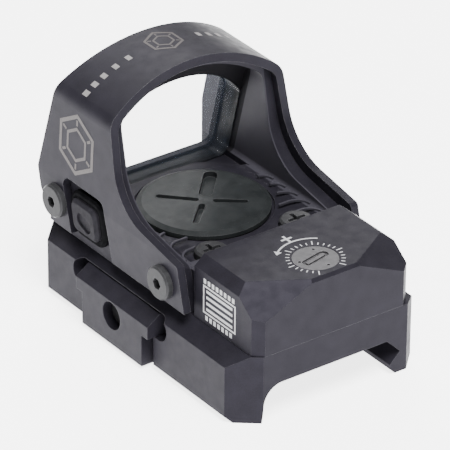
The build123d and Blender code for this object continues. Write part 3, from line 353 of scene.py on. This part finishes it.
def screw_material(name, tint, roughness):
    """Machined steel with faint turning lines, a thin dark coat, and edges painted brighter as a
    glint.
    """
    skin = Surface(name).rounded(0.06)
    dark = tuple(part * 0.72 for part in tint)
    edge_glint = tuple(min(1.0, part * 4.0) for part in tint)
    # edges four times brighter than the steel: a painted glint
    skin.paint(skin.mix(skin.edges(0.08), skin.mix(skin.patches(0.7), dark, tint), edge_glint))
    skin.dull(skin.patches(0.35, 3.0, roughness - 0.06, roughness + 0.08))
    skin.bump(skin.noise(0.07, 2.0, (1.0, 1.0, 6.0)), 0.006, 0.5)
    skin.set(Metallic=0.2, Specular_IOR_Level=0.04)
    return skin.done()


def cap_material():
    """Green-grey anodised cap with long handling scratches."""
    skin = Surface("anodised_cap").rounded(0.08)
    lines = skin.noise(0.5, 3.0, (1.0, 14.0, 1.0), 1.2)
    scratch = skin.times(skin.range(lines, 0.66, 0.72), skin.range(skin.noise(3.0, 2.0), 0.45, 0.65))
    colour = skin.mix(skin.patches(1.9), CAP_DARK, CAP_LIGHT)
    colour = skin.mix(skin.times(scratch, 0.55), colour, CAP_SCRATCH)
    # the edges painted lighter: a painted highlight
    skin.paint(skin.mix(skin.edges(0.08), colour, CAP_EDGE_HIGHLIGHT))
    skin.dull(skin.patches(0.8, 4.0, 0.34, 0.46))
    skin.bump(scratch, 0.01, 0.5)
    skin.bump(skin.noise(0.1, 2.0), 0.008, 0.4)
    skin.set(Specular_IOR_Level=0.08)
    return skin.done()


def rubber_material(name, dark, light, roughness=0.62, shine=0.08):
    """Moulded rubber with a fine matt texture."""
    skin = Surface(name).rounded(0.12)
    skin.paint(skin.mix(skin.patches(0.8), dark, light))
    skin.dull(skin.patches(0.5, 3.0, roughness - 0.05, roughness + 0.08))
    skin.bump(skin.cells(0.14), 0.012, 0.5)
    skin.set(Specular_IOR_Level=shine)
    return skin.done()


def glass_material():
    """Coated optical glass with a faint blue cast and a few specks of dust."""
    skin = Surface("coated_glass")
    dust = skin.range(skin.noise(0.35, 2.0), 0.72, 0.78)
    skin.paint(skin.mix(dust, GLASS_TINT, DUST))
    skin.dull(skin.range(dust, 0.0, 1.0, 0.03, 0.3))
    skin.set(Alpha=0.045, Specular_IOR_Level=0.8)
    return skin.done()


def plain_metal(name, dark, light, roughness, grain=(1.0, 1.0, 1.0)):
    """Bare metal of an inner piece."""
    skin = Surface(name)
    skin.paint(skin.mix(skin.patches(0.9), dark, light))
    skin.dull(skin.patches(0.5, 3.0, roughness - 0.06, roughness + 0.08))
    skin.bump(skin.noise(0.08, 2.0, grain), 0.005, 0.5)
    skin.set(Metallic=1.0)
    return skin.done()


def laminate_material():
    """Glass-epoxy board: woven lines under a green mask."""
    skin = Surface("board_laminate")
    weave = skin.times(skin.noise(0.5, 1.0, (1.0, 8.0, 1.0)), skin.noise(0.5, 1.0, (8.0, 1.0, 1.0)))
    skin.paint(skin.mix(skin.range(weave, 0.1, 0.4), BOARD_GREEN, BOARD_GREEN_LIGHT))
    skin.bump(weave, 0.02, 0.4)
    skin.set(Roughness=0.38)
    return skin.done()


def epoxy_material(name, dark, light, roughness):
    """Moulded epoxy of chips and switches."""
    skin = Surface(name)
    skin.paint(skin.mix(skin.patches(0.4), dark, light))
    skin.bump(skin.noise(0.07, 2.0), 0.006, 0.5)
    skin.set(Roughness=roughness)
    return skin.done()


def print_material(name, dark, light):
    """Laser marking, slightly uneven."""
    skin = Surface(name)
    skin.paint(skin.mix(skin.patches(0.25, 3.0), dark, light))
    skin.bump(skin.noise(0.06, 2.0), 0.006, 0.5)
    skin.set(Roughness=0.6)
    return skin.done()


# each material with the CAD nodes that wear it
FINISHES = (
    (coated_metal("anodised_mount", ANODISED, ANODISED_LIGHT, EDGE_WEAR_AND_HIGHLIGHT, 0.46), ("rail_mount",)),
    (coated_metal("anodised_clamp", ANODISED, ANODISED_LIGHT, EDGE_WEAR_AND_HIGHLIGHT, 0.42), ("clamp_bar",)),
    (coated_metal("anodised_cover", ANODISED, ANODISED_LIGHT, EDGE_WEAR_AND_HIGHLIGHT, 0.45), ("bottom_cover",)),
    (coated_metal("coated_hood", HOOD_COAT, HOOD_COAT_LIGHT, HOOD_EDGE_WEAR_AND_HIGHLIGHT, 0.4, 0.07), ("hood",)),
    (housing_material(), ("housing",)),
    (cap_material(), ("battery_cap",)),
    (screw_material("black_oxide", (0.011, 0.011, 0.0122), 0.46), ("clamp_screw",)),
    (screw_material("dark_screw_steel", (0.035, 0.035, 0.037), 0.36),
     ("hood_screws", "deck_screws", "cover_screws")),
    (screw_material("satin_adjuster_steel", (0.075, 0.073, 0.077), 0.34),
     ("elevation_screw", "windage_screw")),
    (rubber_material("button_rubber", (0.012, 0.0115, 0.014), (0.019, 0.018, 0.022), 0.6, 0.04),
     ("key_left", "key_right")),
    # the surround is dark rubber, darkened further as painted shade of the recess round each key
    (rubber_material("button_surround_painted_shade", (0.004, 0.004, 0.0045), (0.008, 0.008, 0.009), 0.8, 0.01),
     ("key_frame_left", "key_frame_right")),
    (rubber_material("seal_rubber", (0.005, 0.005, 0.0055), (0.01, 0.01, 0.011)),
     ("cap_seal", "cover_gasket", "elevation_seal", "windage_seal")),
    (rubber_material("optical_adhesive", (0.004, 0.004, 0.0048), (0.008, 0.008, 0.009), 0.5),
     ("lens_bond",)),
    (glass_material(), ("front_lens", "rear_lens", "emitter_window")),
    (laminate_material(), ("circuit_board", "flex_cable")),
    (epoxy_material("component_epoxy", (0.02, 0.02, 0.022), (0.035, 0.035, 0.038), 0.5),
     ("control_chip", "board_components", "switch_left", "switch_right")),
    (epoxy_material("emitter_epoxy", (0.5, 0.05, 0.04), (0.7, 0.1, 0.08), 0.2), ("led_emitter",)),
    (plain_metal("nickel_plate", (0.5, 0.5, 0.48), (0.66, 0.65, 0.63), 0.22), ("battery_cell",)),
    (plain_metal("gold_plate", (0.7, 0.5, 0.2), (0.85, 0.64, 0.3), 0.26),
     ("battery_contact", "cap_contact")),
    (plain_metal("machined_brass", (0.5, 0.37, 0.16), (0.66, 0.5, 0.24), 0.32, (1.0, 6.0, 1.0)),
     ("elevation_block", "emitter_carrier")),
    (plain_metal("spring_steel", (0.42, 0.42, 0.43), (0.6, 0.6, 0.6), 0.28, (1.0, 1.0, 5.0)),
     ("lift_springs", "carrier_spring", "click_springs", "click_balls", "locating_pins")),
)
MATERIALS = {name: material for material, names in FINISHES for name in names}

for name, node in NODES.items():
    node.data.materials.clear()
    node.data.materials.append(MATERIALS[name])


# ---------------------------------------------------------------- lift springs
SPRINGS_LOW, SPRINGS_HIGH = box("lift_springs")
SPRINGS_Y = middle("lift_springs")[1]
COIL_PLACES = ((-5.5, SPRINGS_Y), (5.5, SPRINGS_Y))
COIL_LOW = SPRINGS_LOW[2] + 0.02        # just inside the ends of the plain tubes they stand for
COIL_HIGH = SPRINGS_HIGH[2] - 0.03
COIL_R = 0.88
WIRE_R = 0.13
COIL_TURNS = 5
COIL_STEPS = 24             # along one turn
WIRE_SIDES = 8


def wire_corners(x, y, share):
    """Corners of the wire's section, a share of the way up the coil round x, y."""
    low = COIL_LOW + WIRE_R
    high = COIL_HIGH - WIRE_R
    turn = 2 * math.pi * COIL_TURNS * share
    # the first and last turns lie nearly flat
    z = low + (high - low) * share * share * (3 - 2 * share)
    corners = []
    for side in range(WIRE_SIDES):
        angle = 2 * math.pi * side / WIRE_SIDES
        out = COIL_R + WIRE_R * math.cos(angle)
        up = z + WIRE_R * math.sin(angle)
        corners.append(Vector((x + out * math.cos(turn), y + out * math.sin(turn), up)) * MM)
    return corners


def lift_coils():
    """Both wound springs under the elevation block."""
    mesh = bmesh.new()
    steps = COIL_TURNS * COIL_STEPS
    for x, y in COIL_PLACES:
        rings = []
        for step in range(steps + 1):
            rings.append([mesh.verts.new(corner) for corner in wire_corners(x, y, step / steps)])
        for lower, upper in zip(rings, rings[1:]):
            for side in range(WIRE_SIDES):
                after = (side + 1) % WIRE_SIDES
                face = mesh.faces.new((lower[side], lower[after], upper[after], upper[side]))
                face.smooth = True
        mesh.faces.new(rings[0])
        mesh.faces.new(rings[-1])
    bmesh.ops.recalc_face_normals(mesh, faces=mesh.faces)
    piece = new_piece("lift_coils", mesh, MATERIALS["lift_springs"])
    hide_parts("lift_springs")
    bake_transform(piece)


lift_coils()


# ---------------------------------------------------------------- markings
WHITE_MARK = print_material("white_marking", (0.3, 0.3, 0.31), (0.46, 0.46, 0.47))
PALE_MARK = print_material("pale_marking", (0.14, 0.13, 0.13), (0.2, 0.19, 0.19))
GREY_MARK = print_material("laser_marking", (0.034, 0.028, 0.028), (0.056, 0.047, 0.046))
PRINT_LIFT = 0.012 * MM
PRINT_THICK = 0.012 * MM
PRINT_STEP = 0.35           # a marking is cut to this size, to follow a curved surface
PRINT_WELD = 0.002 * MM
DROP_ABOVE = 5 * MM         # markings are dropped on their surface from this far off
DROP_LENGTH = 12 * MM

# the directions a marking's own two axes take on each face
ON_LEFT = ((0.0, -1.0, 0.0), (0.0, 0.0, 1.0))
ON_RIGHT = ((0.0, 1.0, 0.0), (0.0, 0.0, 1.0))
ON_TOP = ((1.0, 0.0, 0.0), (0.0, 1.0, 0.0))


def polar(radius, degrees):
    """A point at a distance and an angle from the first axis."""
    angle = math.radians(degrees)
    return radius * math.cos(angle), radius * math.sin(angle)


def arc(radius, start, end, steps):
    """Points along an arc, in degrees from the first axis."""
    return [polar(radius, start + (end - start) * step / steps) for step in range(steps + 1)]


def bar(x0, y0, x1, y1):
    """An upright rectangle between two corners, as a list of one polygon."""
    return [((x0, y0), (x1, y0), (x1, y1), (x0, y1))]


def stroke(points, width, closed=False):
    """Polygons of a line of a width through points, in the marking's own plane."""
    half = width / 2
    count = len(points)
    left, right = [], []
    for i, point in enumerate(points):
        before = points[(i - 1) % count] if closed or i > 0 else None
        after = points[(i + 1) % count] if closed or i < count - 1 else None
        arms = []
        if before is not None:
            arms.append((point[0] - before[0], point[1] - before[1]))
        if after is not None:
            arms.append((after[0] - point[0], after[1] - point[1]))
        sides = []
        for across, along in arms:
            size = math.hypot(across, along)
            sides.append((-along / size, across / size))
        side = (sum(a for a, _ in sides), sum(b for _, b in sides))
        size = math.hypot(*side)
        side = (side[0] / size, side[1] / size)
        # a corner reaches further out than the line is wide, but not without end
        spread = half / max(0.5, side[0] * sides[0][0] + side[1] * sides[0][1])
        left.append((point[0] + side[0] * spread, point[1] + side[1] * spread))
        right.append((point[0] - side[0] * spread, point[1] - side[1] * spread))
    pieces = []
    for i in range(count if closed else count - 1):
        j = (i + 1) % count
        pieces.append((right[i], right[j], left[j], left[i]))
    return pieces


def subdivided(quad):
    """A four-cornered polygon as rows of points, about a step apart."""
    a, b, c, d = (Vector((*point, 0.0)) for point in quad)
    along = max(1, math.ceil(max((b - a).length, (c - d).length) / PRINT_STEP))
    across = max(1, math.ceil(max((d - a).length, (c - b).length) / PRINT_STEP))
    rows = []
    for j in range(across + 1):
        row = []
        for i in range(along + 1):
            low = a.lerp(b, i / along)
            high = d.lerp(c, i / along)
            row.append(low.lerp(high, j / across))
        rows.append(row)
    return rows


def marking(name, pieces, origin, axes, target, ink):
    """Lays flat polygons, in millimetres about an origin, onto a node's surface as a thin print."""
    surface = BVHTree.FromObject(NODES[target], bpy.context.evaluated_depsgraph_get())
    first, second = (Vector(axis) for axis in axes)
    outward = first.cross(second)
    centre = Vector(origin) * MM
    mesh = bmesh.new()
    for quad in pieces:
        rows = []
        for row in subdivided(quad):
            line = []
            for point in row:
                start = centre + first * point.x * MM + second * point.y * MM + outward * DROP_ABOVE
                place, normal, _, _ = surface.ray_cast(start, -outward, DROP_LENGTH)
                if place is None:
                    raise ValueError(f"marking {name} runs off {target}")
                if normal.dot(outward) < 0:
                    normal = -normal
                line.append(mesh.verts.new(place + normal * PRINT_LIFT))
            rows.append(line)
        for low, high in zip(rows, rows[1:]):
            for i in range(len(low) - 1):
                mesh.faces.new((low[i], low[i + 1], high[i + 1], high[i]))
    bmesh.ops.remove_doubles(mesh, verts=mesh.verts, dist=PRINT_WELD)
    piece = new_piece(name, mesh, ink)
    solid = piece.modifiers.new("thickness", "SOLIDIFY")
    solid.thickness = PRINT_THICK
    solid.offset = 1.0
    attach(piece, "sight")


# heights and sides a little off the faces that markings are dropped on
OVER_ROOF = 38.0
OVER_BLOCK = 21.0
OFF_HOOD = 16.0
OFF_BLOCK = 14.0

HEXAGON = (90, 390, 5)      # an arc through six corners, the first one on top
BADGE_LEFT = (-OFF_HOOD, 14.9, 25.5)
BADGE_ROOF = (-0.1, 15.1, OVER_ROOF)


def emblem(size):
    """A plain badge: two hexagons, one in the other, with short ticks between them."""
    pieces = stroke(arc(size, *HEXAGON), size * 0.13, closed=True)
    pieces += stroke(arc(size * 0.55, *HEXAGON), size * 0.1, closed=True)
    for index in range(6):
        turn = 90 + 60 * index
        pieces += stroke([polar(size * 0.66, turn), polar(size * 0.86, turn)], size * 0.09)
    return pieces


marking("print_badge_left", emblem(4.3), BADGE_LEFT, ON_LEFT, "hood", GREY_MARK)
marking("print_badge_roof", emblem(2.6), BADGE_ROOF, ON_TOP, "hood", GREY_MARK)

# short dashes round the roof in place of lettering
DASH = bar(-0.35, -0.55, 0.35, 0.55)
DASH_XS = (-12.9, -11.5, -10.0, -8.1, -6.0, 5.6, 7.3, 8.9, 10.5)
DASH_Y = 14.95
for index, x in enumerate(DASH_XS):
    marking(f"print_dash_{index}", DASH, (x, DASH_Y, OVER_ROOF), ON_TOP, "hood", PALE_MARK)

# rings of ticks about both adjusters
ELEVATION = (*middle("elevation_screw")[:2], OVER_BLOCK)
WINDAGE = (OFF_BLOCK, *middle("windage_screw")[1:])
TICKS = 30
TICK_FROM = 3.45
TICK_TO = 4.0
LONG_TICK_TO = 4.4
TICK_WIDTH = 0.16


def tick_ring(gaps):
    """Ticks round an adjuster, every fifth one longer, with none in gaps given in degrees."""
    pieces = []
    for index in range(TICKS):
        turn = index * 360 / TICKS
        if any(start < turn < end for start, end in gaps):
            continue
        reach = TICK_TO if index % 5 else LONG_TICK_TO
        pieces += stroke([polar(TICK_FROM, turn), polar(reach, turn)], TICK_WIDTH)
    return pieces


BELOW = (250, 290)
marking("print_elevation_ticks", tick_ring([BELOW]), ELEVATION, ON_TOP, "housing", WHITE_MARK)

# turning arrow and a plus sign beside it
ARROW_R = 5.15
ARROW_START = 50            # degrees, as are the next two
ARROW_END = 128
ARROW_TIP = 138
ARROW_WING = 0.55
ARROW_WIDTH = 0.26
ARROW_STEPS = 14
PLUS_PLACE = (-0.2, -13.2, OVER_BLOCK)
PLUS_REACH = 0.85
PLUS_HALF = 0.17

arrow = stroke(arc(ARROW_R, ARROW_START, ARROW_END, ARROW_STEPS), ARROW_WIDTH)
tip = polar(ARROW_R, ARROW_TIP)
wing_in = polar(ARROW_R - ARROW_WING, ARROW_END)
wing_out = polar(ARROW_R + ARROW_WING, ARROW_END)
arrow.append((wing_in, wing_out, tip, tip))
marking("print_turn_arrow", arrow, ELEVATION, ON_TOP, "housing", WHITE_MARK)
plus = bar(-PLUS_REACH, -PLUS_HALF, PLUS_REACH, PLUS_HALF)
plus += bar(-PLUS_HALF, -PLUS_REACH, PLUS_HALF, -PLUS_HALF)
plus += bar(-PLUS_HALF, PLUS_HALF, PLUS_HALF, PLUS_REACH)
marking("print_plus", plus, PLUS_PLACE, ON_TOP, "housing", WHITE_MARK)

windage_ticks = tick_ring([(70, 110), (160, 200), BELOW])
marking("print_windage_ticks", windage_ticks, WINDAGE, ON_RIGHT, "housing", WHITE_MARK)

PLATE_PLACE = (-OFF_BLOCK, -15.5, 13.9)
PLATE_HALF = (3.5, 2.0)
PLATE_LINE = 0.26
PLATE_BARS = 4
PLATE_BAR_HALF = (2.9, 0.21)
PLATE_PITCH = 0.9
PLATE_DASHES = 8
PLATE_DASH = 0.55
PLATE_DASH_FROM = 2.4
PLATE_DASH_TO = 3.1
PLATE_SHIFT = 0.4           # of the dashes below, against those above


def data_plate():
    """A frame with bars in it, and a row of dashes above and below."""
    wide, high = PLATE_HALF
    corners = [(-wide, -high), (wide, -high), (wide, high), (-wide, high)]
    pieces = stroke(corners, PLATE_LINE, closed=True)
    long, thick = PLATE_BAR_HALF
    for row in range(PLATE_BARS):
        y = (row - (PLATE_BARS - 1) / 2) * PLATE_PITCH
        pieces += bar(-long, y - thick, long, y + thick)
    for index in range(PLATE_DASHES):
        x = index * PLATE_PITCH - wide
        pieces += bar(x, PLATE_DASH_FROM, x + PLATE_DASH, PLATE_DASH_TO)
        if index < PLATE_DASHES - 1:
            x += PLATE_SHIFT
            pieces += bar(x, -PLATE_DASH_TO, x + PLATE_DASH, -PLATE_DASH_FROM)
    return pieces


marking("print_plate", data_plate(), PLATE_PLACE, ON_LEFT, "housing", WHITE_MARK)


# ---------------------------------------------------------------- floor and light
FLOOR_HALF = 3.0            # metres
FLOOR_GLOW = 3.6
WORLD_GLOW = 0.26


def soft_light(name, place, aim, size, watts):
    """A rectangular lamp at a place in metres, turned towards its aim."""
    data = bpy.data.lights.new(name, "AREA")
    data.shape = "RECTANGLE"
    data.size, data.size_y = size
    data.energy = watts
    lamp = bpy.data.objects.new(name, data)
    lamp.location = place
    towards = Vector(aim) - Vector(place)
    lamp.rotation_euler = towards.to_track_quat("-Z", "Y").to_euler()
    bpy.context.scene.collection.objects.link(lamp)


def floor_material():
    """Pale paper that gives a little light of its own."""
    skin = Surface("studio_paper")
    skin.paint(skin.mix(skin.noise(3.0), (0.9, 0.9, 0.9), (0.93, 0.93, 0.93)))
    skin.bump(skin.noise(0.6), 0.02, 0.1)
    skin.set(
        Roughness=0.9,
        Emission_Color=(1.0, 1.0, 1.0),
        Emission_Strength=FLOOR_GLOW,
        Specular_IOR_Level=0.1,
    )
    return skin.done()


def make_floor():
    mesh = bmesh.new()
    bmesh.ops.create_grid(mesh, x_segments=8, y_segments=8, size=FLOOR_HALF)
    floor = new_piece("studio_floor", mesh, floor_material())


def make_world():
    world = bpy.data.worlds.new("studio")
    world.use_nodes = True
    background = world.node_tree.nodes["Background"]
    background.inputs["Color"].default_value = (1.0, 1.0, 1.0, 1.0)
    background.inputs["Strength"].default_value = WORLD_GLOW
    bpy.context.scene.world = world


make_floor()
make_world()
soft_light("overhead", place=(-0.1, -0.32, 0.75), aim=(0, 0, 0.015), size=(0.42, 0.42), watts=18.0)
soft_light("front", place=(0.23, 0.63, 0.52), aim=(0, 0, 0.02), size=(0.75, 0.3), watts=7.0)
